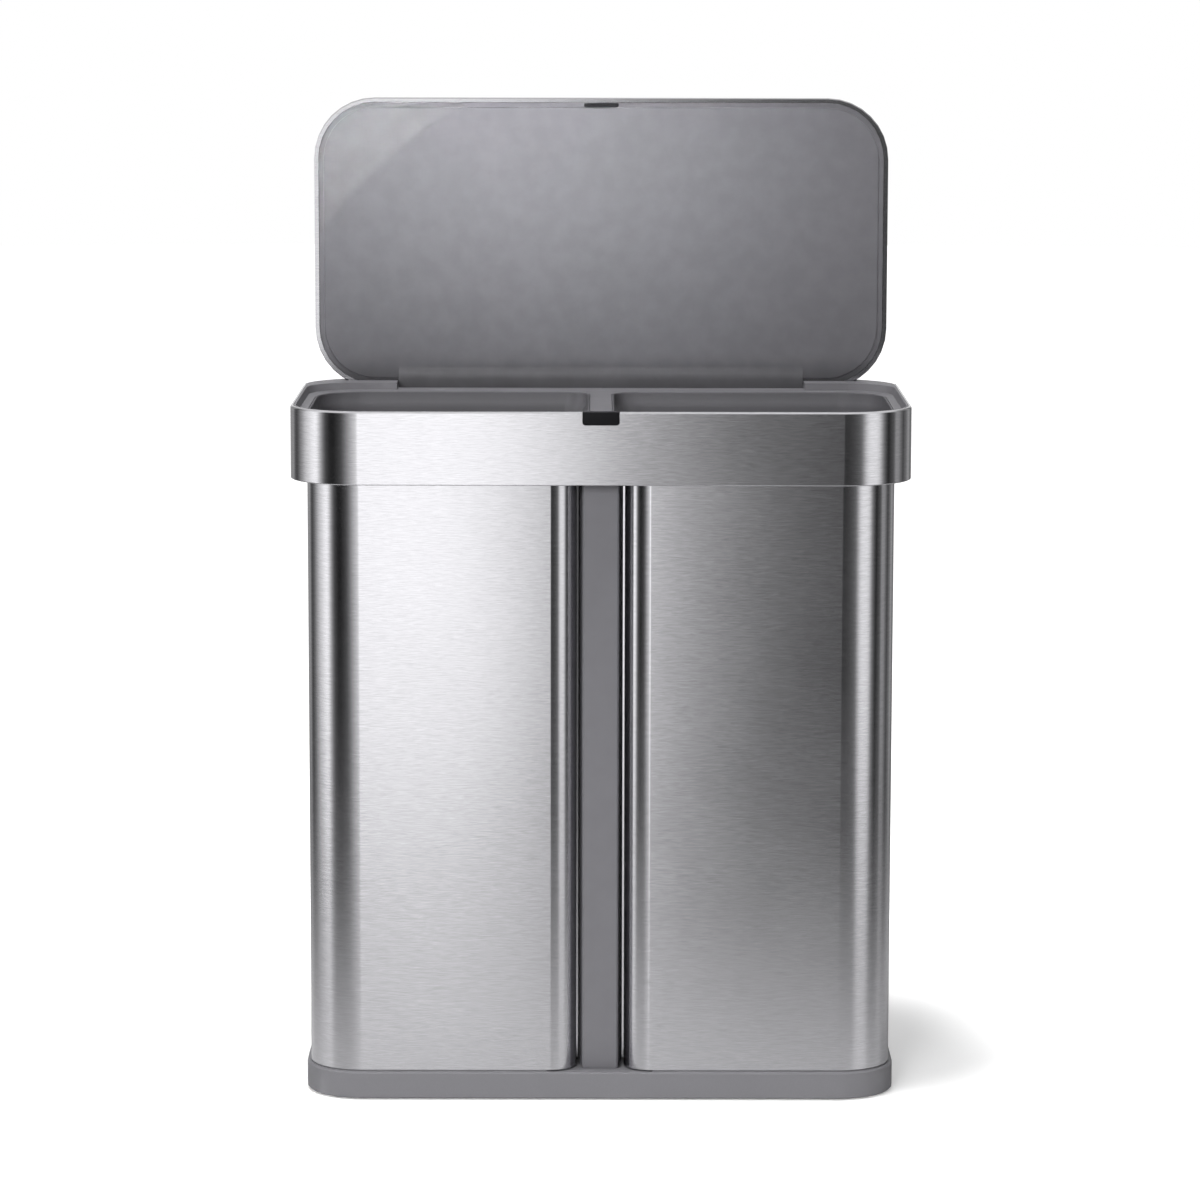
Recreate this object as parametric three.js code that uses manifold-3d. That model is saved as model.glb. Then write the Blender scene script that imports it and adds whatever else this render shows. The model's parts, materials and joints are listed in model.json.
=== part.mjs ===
// A powered double recycling bin: two steel half shells on a plastic base, a steel rim band round a
// plastic frame that two buckets hang in, and one wide lid that a gearmotor turns on a hinge rod.
// Millimetres, +X to the bin's right as seen from the front, +Y to its back, +Z up.
// The origin lies on the floor under the middle of the rim. The lid is drawn at its open stop.
import * as THREE from "three";
import { mergeVertices } from "three/addons/utils/BufferGeometryUtils.js";
import Module from "manifold-3d";

const wasm = await Module();
wasm.setup();

// ---------------------------------------------------------------- driving dimensions

const overallWidth = 594;
const overallDepth = 328;
const rimTop = 668; // floor to the rim's top edge
const rimCorner = 68; // corner radius in plan
const bandHeight = 70;
const bodyInset = 15.8; // the rim overhangs the steel body by this much all round
const baseInset = 12.1;
const baseHeight = 27.5;
const steel = 0.8; // sheet thickness
const wall = 2.2; // thickness of the moulded walls
const floorWall = 2.5; // thickness of the moulded decks and floors

const seatGap = 0.3; // between two pieces that are fixed to each other
const runGap = 0.6; // round a piece that moves
const cornerSteps = 8; // facets in a quarter turn of a big corner

const rim = { roll: 2.5, lip: 0.6, hem: 3 }; // rolled top edge and the hems
const deck = {
  below: 7, // the deck lies this far under the rim's top edge
  sideInset: 7.5, // from the rim's outside to the foot of the side wall
  slope: 3.5, // the side wall leans out by this much
  blockFront: 50, // from the rim's back to the corner blocks' front
  blockHalfGap: 204, // half the space between the two blocks
  blockCorner: 45,
};
const opening = {
  sideInset: 15.4, // from the rim's outside to the opening's edge
  rearInset: 71.4,
  bridge: 20.8, // width of the bridge between the openings
  outerRear: 48, // the corner radii
  inner: 24,
  shoulderBelow: 12, // the shoulder that a bucket hangs on, under the deck
  shoulder: 3,
  fit: 0.4,
};
const hinge = {
  behindMiddle: 133.8, // the lid's axis, behind the bin's middle
  belowTop: 11.1, // and under the rim's top edge
  rod: 4,
  hub: 8,
  bush: 8,
  bushLength: 9,
  travel: 90,
};
const lid = {
  sideInset: 9.5, // the rim shows this far outside the closed lid
  frontInset: 4,
  corner: 61,
  thickness: 6.5,
  over: 1.5, // closed, the lid's underside lies this far over the rim
  rearToAxis: 2.8, // from the lid's back edge to its axis
  roll: 2.2,
  hem: 4.4,
  step: 5, // the sunk step between the steel hem and the liner's field
  sunk: 1.6, // how deep that step lies
  bevel: 1.4,
  liner: 1.4, // the liner's thickness over the step
  tongue: 2.5,
};
const trough = { front: 128.6, floorBelow: 13.9, lip: 0.8 }; // the space that the hinge turns in
const cap = { front: 56.5, depth: 7.5 }; // the plastic cap that the rim has at its back corners
const groove = { half: 23.2, corner: 24.6, depth: 50, flange: 2 }; // the recess between the shells
const pillar = { recess: 12.2, halfFront: 17.4, halfBack: 20.8, chamfer: 1.6, wall: 2.4 };
const sensor = {
  width: 35,
  height: 12.7,
  depth: 5,
  capDepth: 11.4, // front to back, over the rim's top
  corner: 3,
  fit: 0.25,
  board: 22,
};
const bucket = { wall: 2.2, lipRise: 0.5, bottom: 36, taper: 5, neckDrop: 52, neckInner: 16, foot: 14 };
const grip = { width: 95, height: 26, below: 34 };
const gear = {
  module: 1,
  sectorTeeth: 40,
  pinionTeeth: 16,
  kept: 13, // teeth left on the sector
  width: 6,
  x: 115,
  mesh: -75, // where the two gears meet, as an angle round the lid's axis
  pressure: 20,
  backlash: 0.1,
  addendum: 0.95,
  dedendum: 1.25,
  after: 1, // teeth that lie past the mesh with the lid closed
};
const motor = {
  caseDiameter: 19.4,
  gearbox: 22,
  length: 32,
  shaft: 4,
  boss: 4, // radius of the bearing at the motor's end
  bossLength: 3,
  bracket: 2,
  foot: 26,
  collar: 3.2, // radius of the gearbox's front bearing
};
const cell = { length: 50, diameter: 26.2, count: 4, gap: 0.4, contact: 0.5 };
const tray = { wall: 1.6, front: 29.7, play: 0.6 }; // front: its distance before the frame's rear wall
const door = {
  wall: 2.6,
  fit: 0.4,
  pin: 1.6,
  pinLength: 2,
  round: 2.35, // the rounding about the pins
  sunk: 0.2,
  thumb: 14, // radius of the hollow for a thumb
  thumbDepth: 1.4,
  thumbHalf: 12,
};
const board = { thickness: 1.6, width: 80, depth: 26, x: -156 };
const inlet = { x: -130, diameter: 8.6, bore: 5.5, pin: 2, depth: 9, body: 12, belowTop: 51 };
const powerSwitch = {
  x: -160,
  width: 15,
  height: 8,
  travel: 3,
  knob: 6,
  rib: 0.6, // half the width of the knob's rib
  body: 8,
  flange: 2.5,
  frame: 1.4, // wall round the knob's slot
  belowTop: 51,
};
const lead = { radius: 1.1, bend: 3, sides: 8, steps: 3 }; // the cables under the deck
const screw = { shank: 3, head: 6, headHeight: 2, drive: 2, bite: 1.7 };
const foot = { diameter: 26, height: 3.2, lift: 1.4, inset: 34, recess: 1 };

// ---------------------------------------------------------------- derived places

const halfWidth = overallWidth / 2;
const halfDepth = overallDepth / 2;
const bandBottom = rimTop - bandHeight;
const deckTop = rimTop - deck.below;
const axisY = hinge.behindMiddle;
const axisZ = rimTop - hinge.belowTop;
const bodyHalfWidth = halfWidth - bodyInset;
const bodyHalfDepth = halfDepth - bodyInset;
const bodyCorner = rimCorner - bodyInset;
const frameInset = steel + seatGap; // the frame's outside, inside the band
const flangeZ = bandBottom + 2; // the frame's bottom flange, just inside the band's hem
const shellTop = flangeZ - seatGap;
const shellBottom = baseHeight + 1.4;
const underDeck = deckTop - floorWall;
const spigotInset = bodyInset + steel + seatGap; // the ribs that locate the shells from inside
const lidUnder = hinge.belowTop + lid.over; // heights over the axis, with the lid closed
const lidOuter = lidUnder + lid.thickness;
const lidFront = -(axisY + halfDepth - lid.frontInset);
const troughFloor = axisZ - trough.floorBelow;
const rearWall = halfDepth - frameInset - wall; // the inside of the frame's back

// ---------------------------------------------------------------- finishes

const finish = (color, roughness, metalness = 0) =>
  new THREE.MeshStandardMaterial({ color, roughness, metalness });
const brushedSteel = finish(0xc9c9cc, 0.32, 1);
const greyPlastic = finish(0x6f6e73, 0.55);
const basePlastic = finish(0x7c7b80, 0.6);
const blackGloss = finish(0x0b0b0d, 0.12);
const blackRubber = finish(0x1b1b1c, 0.8);
const greenBoard = finish(0x1f5a3a, 0.5);
const whiteNylon = finish(0xd9d7cf, 0.45);
const plainSteel = finish(0xa9abad, 0.35, 1);
const cellJacket = finish(0x8d8f94, 0.4, 0.4);
const leadJacket = finish(0x2a2a2c, 0.6);

// ---------------------------------------------------------------- shapes

// A flat rounded rectangle as a loop of points, anticlockwise from above.
// radii: rear right, rear left, front left, front right.
function loop(x0, x1, y0, y1, radii, z, steps = cornerSteps) {
  const points = [];
  const corners = [
    [x1, y1, -1, -1],
    [x0, y1, 1, -1],
    [x0, y0, 1, 1],
    [x1, y0, -1, 1],
  ];
  corners.forEach(([x, y, inX, inY], corner) => {
    const radius = Math.max(Array.isArray(radii) ? radii[corner] : radii, 0.2);
    for (let step = 0; step <= steps; step++) {
      const angle = ((corner + step / steps) * Math.PI) / 2;
      points.push(
        new THREE.Vector3(
          x + inX * radius + radius * Math.cos(angle),
          y + inY * radius + radius * Math.sin(angle),
          z,
        ),
      );
    }
  });
  return points;
}

// The bin's outline in plan, moved in by an inset.
function outline(inset, z, steps = cornerSteps) {
  const x = halfWidth - inset;
  const y = halfDepth - inset;
  return loop(-x, x, -y, y, rimCorner - inset, z, steps);
}

// Joins loops of equally many points into one body. With ring set, the last loop meets the first;
// otherwise the first loop is capped underneath and the last one on top.
function loft(loops, ring = false) {
  const count = loops[0].length;
  const position = [];
  const index = [];
  loops.forEach((points) => points.forEach((p) => position.push(p.x, p.y, p.z)));
  const spans = ring ? loops.length : loops.length - 1;
  for (let i = 0; i < spans; i++) {
    const low = i * count;
    const high = ((i + 1) % loops.length) * count;
    for (let j = 0; j < count; j++) {
      const next = (j + 1) % count;
      index.push(low + j, low + next, high + next, low + j, high + next, high + j);
    }
  }
  const cap = (first, down) => {
    for (let j = 1; j < count - 1; j++) {
      if (down) index.push(first, first + j + 1, first + j);
      else index.push(first, first + j, first + j + 1);
    }
  };
  if (!ring) {
    cap(0, true);
    cap((loops.length - 1) * count, false);
  }
  const geometry = new THREE.BufferGeometry();
  geometry.setAttribute("position", new THREE.Float32BufferAttribute(position, 3));
  geometry.setIndex(index);
  return geometry;
}

// A section of [inset, height] points taken round the bin's outline.
const sweep = (section, place = outline) =>
  loft(section.map(([inset, z]) => place(inset, z)), true);

// A block between two heights on the bin's outline.
const block = (inset, low, high) => loft([outline(inset, low), outline(inset, high)]);

function box(x0, x1, y0, y1, z0, z1) {
  const geometry = new THREE.BoxGeometry(x1 - x0, y1 - y0, z1 - z0);
  return geometry.translate((x0 + x1) / 2, (y0 + y1) / 2, (z0 + z1) / 2);
}

// A cylinder along X.
function rodX(radius, x0, x1, y, z, sides = 24) {
  const geometry = new THREE.CylinderGeometry(radius, radius, x1 - x0, sides);
  return geometry.rotateZ(-Math.PI / 2).translate((x0 + x1) / 2, y, z);
}

// A cylinder along Y.
function rodY(radius, x, y0, y1, z, sides = 20) {
  const geometry = new THREE.CylinderGeometry(radius, radius, y1 - y0, sides);
  return geometry.translate(x, (y0 + y1) / 2, z);
}

// A cylinder along Z.
function rodZ(radius, x, y, z0, z1, sides = 20) {
  const geometry = new THREE.CylinderGeometry(radius, radius, z1 - z0, sides);
  return geometry.rotateX(Math.PI / 2).translate(x, y, (z0 + z1) / 2);
}

function shapeOf(points) {
  return new THREE.Shape(points.map(([x, y]) => new THREE.Vector2(x, y)));
}

// A plan outline raised from z0 to z1.
function raise(points, z0, z1) {
  const geometry = new THREE.ExtrudeGeometry(shapeOf(points), {
    depth: z1 - z0,
    bevelEnabled: false,
  });
  return geometry.translate(0, 0, z0);
}

// A side view, in y and z, drawn out from x0 to x1.
function slab(points, x0, x1) {
  const geometry = new THREE.ExtrudeGeometry(shapeOf(points), {
    depth: x1 - x0,
    bevelEnabled: false,
  });
  const turn = new THREE.Matrix4().set(0, 0, 1, x0, 1, 0, 0, 0, 0, 1, 0, 0, 0, 0, 0, 1);
  return geometry.applyMatrix4(turn);
}

const arc = (cx, cy, radius, from, to, steps) =>
  Array.from({ length: steps + 1 }, (_, i) => {
    const angle = THREE.MathUtils.degToRad(from + ((to - from) * i) / steps);
    return [cx + radius * Math.cos(angle), cy + radius * Math.sin(angle)];
  });

// A round lead along a path of [x, y, z] points, with its turns rounded.
function leadAlong(path) {
  const points = path.map((p) => new THREE.Vector3(...p));
  const line = new THREE.CurvePath();
  let from = points[0];
  for (let i = 1; i < points.length - 1; i++) {
    const back = points[i - 1].clone().sub(points[i]).setLength(lead.bend);
    const on = points[i + 1].clone().sub(points[i]).setLength(lead.bend);
    const start = points[i].clone().add(back);
    const end = points[i].clone().add(on);
    line.add(new THREE.LineCurve3(from, start));
    line.add(new THREE.QuadraticBezierCurve3(start, points[i], end));
    from = end;
  }
  line.add(new THREE.LineCurve3(from, points[points.length - 1]));
  const stations = [];
  line.curves.forEach((curve, i) => {
    const steps = curve.isLineCurve3 ? 1 : lead.steps;
    for (let k = i === 0 ? 0 : 1; k <= steps; k++) {
      stations.push([curve.getPoint(k / steps), curve.getTangent(k / steps)]);
    }
  });
  const forward = new THREE.Vector3();
  const side = new THREE.Vector3();
  const first = stations[0][1];
  const upright = Math.abs(first.z) > 0.5;
  side.crossVectors(first, upright ? new THREE.Vector3(1, 0, 0) : new THREE.Vector3(0, 0, 1));
  const loops = stations.map(([centre, tangent]) => {
    forward.copy(tangent).normalize();
    side.addScaledVector(forward, -side.dot(forward)).normalize();
    const across = new THREE.Vector3().crossVectors(forward, side);
    return Array.from({ length: lead.sides }, (_, i) => {
      const angle = (2 * Math.PI * i) / lead.sides;
      return centre
        .clone()
        .addScaledVector(side, lead.radius * Math.cos(angle))
        .addScaledVector(across, lead.radius * Math.sin(angle));
    });
  });
  return loft(loops);
}

// ---------------------------------------------------------------- joins and cuts

function solid(geometry) {
  const plain = geometry.clone();
  plain.deleteAttribute("normal");
  plain.deleteAttribute("uv");
  const merged = mergeVertices(plain, 1e-4);
  return new wasm.Manifold(
    new wasm.Mesh({
      numProp: 3,
      vertProperties: merged.attributes.position.array,
      triVerts: new Uint32Array(merged.index.array),
    }),
  );
}

const join = (first, ...rest) =>
  rest.reduce((body, geometry) => body.add(solid(geometry)), solid(first));
const cut = (body, ...tools) =>
  tools.reduce((left, geometry) => left.subtract(solid(geometry)), body);

function geometryOf(body) {
  const mesh = body.getMesh();
  const geometry = new THREE.BufferGeometry();
  const position = new Float32Array(mesh.vertProperties);
  geometry.setAttribute("position", new THREE.BufferAttribute(position, 3));
  geometry.setIndex(new THREE.BufferAttribute(new Uint32Array(mesh.triVerts), 1));
  const faceted = geometry.toNonIndexed();
  faceted.computeVertexNormals();
  return faceted;
}

const bin = new THREE.Group();
const lidGroup = new THREE.Group();
lidGroup.position.set(0, axisY, axisZ);
lidGroup.rotation.x = -THREE.MathUtils.degToRad(hinge.travel);
bin.add(lidGroup);

function piece(name, shape, material, parent = bin) {
  const geometry = shape.isBufferGeometry ? shape : geometryOf(shape);
  const mesh = new THREE.Mesh(geometry, material);
  mesh.name = name;
  parent.add(mesh);
  return mesh;
}

// ---------------------------------------------------------------- steel rim band

const notchOutline = (grow) => {
  const half = sensor.width / 2 + grow;
  const low = rimTop - sensor.height - grow;
  const high = rimTop + 5;
  const r = sensor.corner + grow;
  return [
    [half, high],
    [-half, high],
    ...arc(-half + r, low + r, r, 180, 270, 5),
    ...arc(half - r, low + r, r, 270, 360, 5),
  ];
};

// A front view, in x and z, drawn back from y0 to y1.
function frontSlab(points, y0, y1) {
  const geometry = new THREE.ExtrudeGeometry(shapeOf(points), {
    depth: y1 - y0,
    bevelEnabled: false,
  });
  return geometry.rotateX(Math.PI / 2).translate(0, y1, 0);
}

const doorLow = flangeZ + floorWall + 1.6;
const trayHeight = cell.diameter + 2 * seatGap + 2 * tray.wall;
const doorHigh = doorLow + trayHeight - 2;
const rowLength = cell.count * cell.length + (cell.count + 1) * cell.gap;
const trayHalf = rowLength / 2 + cell.contact + seatGap + tray.wall;
const doorHalf = trayHalf - tray.wall;
const trayFront = rearWall - tray.front;
const cellY = trayFront + tray.wall + seatGap + cell.diameter / 2;
const trayBack = cellY + cell.diameter / 2 + tray.play;
const inletZ = rimTop - inlet.belowTop;
const switchZ = rimTop - powerSwitch.belowTop;

const rearHoles = (grow) => [
  box(
    -doorHalf - grow,
    doorHalf + grow,
    rearWall - 4,
    halfDepth + 2,
    doorLow - grow,
    doorHigh + grow,
  ),
  rodY(inlet.diameter / 2 + grow, inlet.x, rearWall - 4, halfDepth + 2, inletZ),
  box(
    powerSwitch.x - powerSwitch.width / 2 - grow,
    powerSwitch.x + powerSwitch.width / 2 + grow,
    rearWall - 4,
    halfDepth + 2,
    switchZ - powerSwitch.height / 2 - grow,
    switchZ + powerSwitch.height / 2 + grow,
  ),
];

const rollCentre = rimTop - rim.roll;
const bandSection = [
  [0, bandBottom + steel],
  ...arc(rim.roll, rollCentre, rim.roll, 180, 90, 4),
  [rim.roll + rim.lip, rimTop],
  [rim.roll + rim.lip, rimTop - steel],
  ...arc(rim.roll, rollCentre, rim.roll - steel, 90, 180, 3),
  [steel, bandBottom + steel],
  [rim.hem, bandBottom + steel],
  [rim.hem, bandBottom],
  [steel, bandBottom],
];
const capY = halfDepth - cap.front;
const capZ = rimTop - cap.depth;
const band = cut(
  solid(sweep(bandSection)),
  frontSlab(notchOutline(0), -halfDepth - 1, -halfDepth + 6),
  box(-halfWidth - 1, halfWidth + 1, capY, halfDepth + 1, capZ, rimTop + 1),
  ...rearHoles(door.fit),
);
piece("rim_band", band, brushedSteel);

// ---------------------------------------------------------------- shells

// Half of the body's sheet in plan: from the front recess round the outside to the rear recess.
function shellOutline(side) {
  const t = steel;
  const inner = bodyHalfDepth - groove.corner;
  const mouth = bodyHalfDepth - groove.depth;
  const front = (radius, x) => arc(x, -inner, radius, 0, -90, 6);
  const cornerX = groove.half + groove.corner;
  const bigX = bodyHalfWidth - bodyCorner;
  const bigY = bodyHalfDepth - bodyCorner;
  const outside = [
    [groove.half - groove.flange, -mouth],
    [groove.half, -mouth],
    ...arc(cornerX, -inner, groove.corner, 180, 270, 6),
    ...arc(bigX, -bigY, bodyCorner, -90, 0, 12),
    ...arc(bigX, bigY, bodyCorner, 0, 90, 12),
    ...arc(cornerX, inner, groove.corner, 90, 180, 6),
    [groove.half, mouth],
    [groove.half - groove.flange, mouth],
  ];
  const inside = [
    [groove.half - groove.flange, mouth - t],
    [groove.half + t, mouth - t],
    ...arc(cornerX, inner, groove.corner - t, 180, 90, 6),
    ...arc(bigX, bigY, bodyCorner - t, 90, 0, 12),
    ...arc(bigX, -bigY, bodyCorner - t, 0, -90, 12),
    ...arc(cornerX, -inner, groove.corner - t, 270, 180, 6),
    [groove.half + t, -mouth + t],
    [groove.half - groove.flange, -mouth + t],
  ];
  const points = [...outside, ...inside].map(([x, y]) => [side * x, y]);
  return side < 0 ? points.reverse() : points;
}
piece("left_shell", raise(shellOutline(-1), shellBottom, shellTop), brushedSteel);
piece("right_shell", raise(shellOutline(1), shellBottom, shellTop), brushedSteel);

// ---------------------------------------------------------------- pillars in the recesses

function pillarOutline(side) {
  const face = bodyHalfDepth - pillar.recess;
  const back = bodyHalfDepth - groove.depth;
  const { halfFront, halfBack, chamfer } = pillar;
  const w = pillar.wall;
  const half = [
    [halfBack, back],
    [halfFront, face - chamfer],
    [halfFront - chamfer, face],
  ];
  const inner = [
    [halfFront - chamfer - w * 0.6, face - w],
    [halfFront - w, face - chamfer - w * 0.8],
    [halfBack - w, back],
  ];
  const mirror = (points) => points.map(([x, y]) => [-x, y]).reverse();
  const points = [...half, ...mirror(half), ...mirror(inner), ...inner];
  return points.map(([x, y]) => [x * side, y * side]);
}
const pillarBottom = baseHeight + seatGap;
piece("front_pillar", raise(pillarOutline(-1), pillarBottom, shellTop), greyPlastic);
piece("rear_pillar", raise(pillarOutline(1), pillarBottom, shellTop), greyPlastic);

// ---------------------------------------------------------------- base and feet

const grooveHalf = groove.half + groove.corner + 3; // the locating ribs stop this far from the middle
const grooveCut = (z0, z1) => box(-grooveHalf, grooveHalf, -halfDepth, halfDepth, z0, z1);
const baseEdge = 1.5; // the chamfer round the base
const ledge = 0.1; // the ledge that the shells stand on is this much inside them
const spigotTop = baseHeight + 11;
const ribHalf = 1;
const ribEnd = 16; // the cross ribs start this far from the front and back
const baseBody = join(
  loft([
    outline(baseInset + baseEdge, foot.lift),
    outline(baseInset, foot.lift + baseEdge),
    outline(baseInset, baseHeight - baseEdge),
    outline(baseInset + baseEdge, baseHeight),
  ]),
);
const spigot = cut(
  solid(
    sweep([
      [bodyInset + ledge, baseHeight - 1],
      [bodyInset + ledge, shellBottom - seatGap],
      [spigotInset, shellBottom - seatGap],
      [spigotInset, spigotTop],
      [spigotInset + wall, spigotTop],
      [spigotInset + wall, baseHeight - 1],
    ]),
  ),
  grooveCut(baseHeight, baseHeight + 20),
);
const footX = halfWidth - baseInset - foot.inset;
const footY = halfDepth - baseInset - foot.inset;
const footPlaces = [
  ["front_left_foot", -footX, -footY],
  ["front_right_foot", footX, -footY],
  ["rear_left_foot", -footX, footY],
  ["rear_right_foot", footX, footY],
];
const footTop = foot.lift + foot.recess;
const underside = block(baseInset + 3, foot.lift - 1, baseHeight - floorWall);
const baseRibs = [-2, -1, 0, 1, 2].map((i) => {
  const x = (i * overallWidth) / 6;
  return box(
    x - ribHalf,
    x + ribHalf,
    -halfDepth + ribEnd,
    halfDepth - ribEnd,
    foot.lift,
    baseHeight - 1,
  );
});
const baseHollow = cut(baseBody, underside)
  .add(spigot)
  .add(solid(baseRibs[0]).intersect(solid(block(baseInset + 1, 0, baseHeight))));
let baseSolid = baseHollow;
baseRibs.slice(1).forEach((rib) => {
  baseSolid = baseSolid.add(solid(rib));
});
footPlaces.forEach(([, x, y]) => {
  baseSolid = baseSolid.add(
    solid(rodZ(foot.diameter / 2 + 3, x, y, foot.lift + 0.4, baseHeight - 1)),
  );
  baseSolid = baseSolid.subtract(
    solid(rodZ(foot.diameter / 2 + seatGap, x, y, 0, foot.lift + foot.recess)),
  );
});
piece("base", baseSolid, basePlastic);
footPlaces.forEach(([name, x, y]) => {
  const profile = [
    [0, 0],
    [foot.diameter / 2 - 1, 0],
    [foot.diameter / 2, 1],
    [foot.diameter / 2, footTop - seatGap],
    [0, footTop - seatGap],
  ].map(([r, z]) => new THREE.Vector2(r, z));
  const pad = new THREE.LatheGeometry(profile, 20).rotateX(Math.PI / 2);
  piece(name, pad, blackRubber).position.set(x, y, 0);
});

// ---------------------------------------------------------------- rim frame

const shoulderZ = deckTop - opening.shoulderBelow;
const openingFor = (side, grow, z) => {
  const near = opening.bridge / 2 - grow;
  const far = halfWidth - opening.sideInset + grow;
  const front = -(halfDepth - opening.sideInset) - grow;
  const back = halfDepth - opening.rearInset + grow;
  const outerFront = rimCorner - opening.sideInset + grow;
  const outerRear = opening.outerRear + grow;
  const inner = opening.inner + grow;
  return side > 0
    ? loop(near, far, front, back, [outerRear, inner, inner, outerFront], z)
    : loop(-far, -near, front, back, [inner, outerRear, outerFront, inner], z);
};
const openingHole = (side) => [
  loft([openingFor(side, 0, shoulderZ), openingFor(side, 0, rimTop + 5)]),
  loft([
    openingFor(side, -opening.shoulder, shoulderZ - 10),
    openingFor(side, -opening.shoulder, shoulderZ + 1),
  ]),
];
const openingSkirt = (side) =>
  loft([openingFor(side, wall - 0.2, shoulderZ - wall), openingFor(side, wall - 0.2, deckTop - 1)]);

// The pocket over the deck: straight back between the blocks, and ended by them beside it.
const pocketLoop = (inset, back, corner, z) => {
  const x = halfWidth - inset;
  const front = halfDepth - inset;
  const frontCorner = rimCorner - inset;
  return loop(-x, x, -front, back, [corner, corner, frontCorner, frontCorner], z);
};
const blockFrontY = halfDepth - deck.blockFront;
const pocket = loft([
  pocketLoop(deck.sideInset, blockFrontY, deck.blockCorner, deckTop),
  pocketLoop(deck.sideInset - deck.slope, blockFrontY, deck.blockCorner, rimTop + 5),
]);
const gap = deck.blockHalfGap;
const lidSweep = Math.hypot(lid.rearToAxis, lidOuter) + runGap;
const troughRear = axisY + lidSweep;
const troughUnder = troughFloor - floorWall;
const boss = { radius: 7, length: hinge.bushLength + 4 };

// the outside, up under the rolled steel edge, and the plastic cap over the back corners
const ringTop = flangeZ + floorWall;
const frameLow = ringTop + seatGap;
let frame = solid(
  loft([
    outline(frameInset, frameLow),
    outline(frameInset, rollCentre - seatGap),
    outline(frameInset + 1.2, rimTop - steel - seatGap - 0.2),
    outline(rim.roll + rim.lip + seatGap, rimTop - steel - seatGap),
    outline(rim.roll + rim.lip + seatGap, rimTop),
  ]),
);
const capEdge = 1.2;
const capBody = loft([
  outline(0, capZ + seatGap),
  outline(0, rimTop - capEdge),
  outline(capEdge * 0.3, rimTop - capEdge * 0.3),
  outline(capEdge, rimTop),
]);
const capRegion = box(-halfWidth - 1, halfWidth + 1, capY + seatGap, halfDepth + 1, 0, rimTop + 1);
frame = frame.add(solid(capBody).intersect(solid(capRegion)));
// hollow under the deck, and open below
frame = cut(frame, block(frameInset + wall, frameLow - 1, underDeck));
const inFrame = (geometry) => solid(geometry).intersect(solid(block(frameInset + 0.5, 0, rimTop)));
// the trough's walls, and the floors of the slots behind the blocks
const slotFloor = axisZ + 0.4;
frame = frame.add(
  solid(box(-gap - wall, gap + wall, trough.front - wall, troughRear + wall, troughUnder, deckTop)),
);
frame = frame.add(
  inFrame(box(-halfWidth, halfWidth, axisY - 6, halfDepth, slotFloor - floorWall, deckTop)),
);
[-1, 1].forEach((side) => {
  const inner = side > 0 ? gap : -gap - boss.length;
  frame = frame.add(solid(openingSkirt(side)));
  frame = frame.add(solid(rodX(boss.radius, inner, inner + boss.length, axisY, axisZ)));
});
frame = cut(frame, pocket, ...openingHole(-1), ...openingHole(1));
// between the blocks: the deck runs back to a low lip, and the trough lies behind it
frame = cut(
  frame,
  box(-gap, gap, blockFrontY - 60, trough.front, deckTop, rimTop + 5),
  box(-gap, gap, trough.front - 0.1, troughRear, troughFloor, rimTop + 5),
);
const lipSection = [
  [trough.front - 6, deckTop - 0.5],
  [trough.front, deckTop - 0.5],
  [trough.front, deckTop + trough.lip - 0.4],
  [trough.front - 0.8, deckTop + trough.lip],
  [trough.front - 3, deckTop + trough.lip * 0.7],
  [trough.front - 6, deckTop],
];
frame = frame.add(solid(slab(lipSection, -gap, gap)));
// the slot that the lid's back edge turns down into, round a nose on the hinge axis
const dip = hinge.belowTop - lid.rearToAxis; // how far the open lid's back edge lies under the rim's top
const slotHalf =
  halfWidth - lid.sideInset - lid.corner + Math.sqrt(lid.corner ** 2 - (lid.corner - dip) ** 2) + runGap;
const slotSection = [
  ...arc(axisY, axisZ, lidUnder - 0.4, 66, 2, 6),
  [axisY + lidUnder - 0.4, slotFloor],
  [troughRear, slotFloor],
  [troughRear, rimTop + 5],
  [axisY + 2, rimTop + 5],
];
frame = cut(frame, slab(slotSection, -slotHalf, slotHalf));
// bores for the bushes, the sensor's pocket and the openings at the back
const sensorPocket = [
  frontSlab(notchOutline(sensor.fit), -halfDepth - 1, -halfDepth + sensor.depth + seatGap),
  box(
    -sensor.width / 2 - sensor.fit,
    sensor.width / 2 + sensor.fit,
    -halfDepth,
    -halfDepth + sensor.capDepth + seatGap,
    deckTop,
    rimTop + 5,
  ),
];
const bushBore = hinge.bush / 2 + seatGap;
frame = cut(
  frame,
  rodX(bushBore, -gap - hinge.bushLength - 2, -gap + 1, axisY, axisZ, 24),
  rodX(bushBore, gap - 1, gap + hinge.bushLength + 2, axisY, axisZ, 24),
  ...sensorPocket,
  ...rearHoles(0),
);
// four posts that the control board hangs from
const boardY0 = halfDepth - opening.rearInset + wall + 2.4;
const boardTop = underDeck - 5;
const boardHalf = board.width / 2;
[-1, 1].forEach((side) => {
  [boardY0 + 4, boardY0 + board.depth - 4].forEach((y) => {
    const x = board.x + side * (boardHalf - 4);
    frame = frame.add(solid(rodZ(2.5, x, y, boardTop + seatGap, underDeck + 1, 10)));
  });
});
// the bearings that the battery door's two pins turn in
const doorFaceY = halfDepth - door.sunk;
const doorPinY = doorFaceY - door.round;
const doorPinZ = doorLow + door.fit + door.round;
[-1, 1].forEach((side) => {
  const x0 = side > 0 ? doorHalf : -doorHalf - door.pinLength - 2;
  const x1 = x0 + door.pinLength + 2;
  frame = frame.add(
    solid(box(x0, x1, rearWall - 0.7, rearWall + 1, doorPinZ - 3, doorPinZ + 3)),
  );
  const bore = rodX(door.pin / 2 + seatGap, x0 - side, x1 - side, doorPinY, doorPinZ, 16);
  frame = cut(frame, bore);
});
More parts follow.
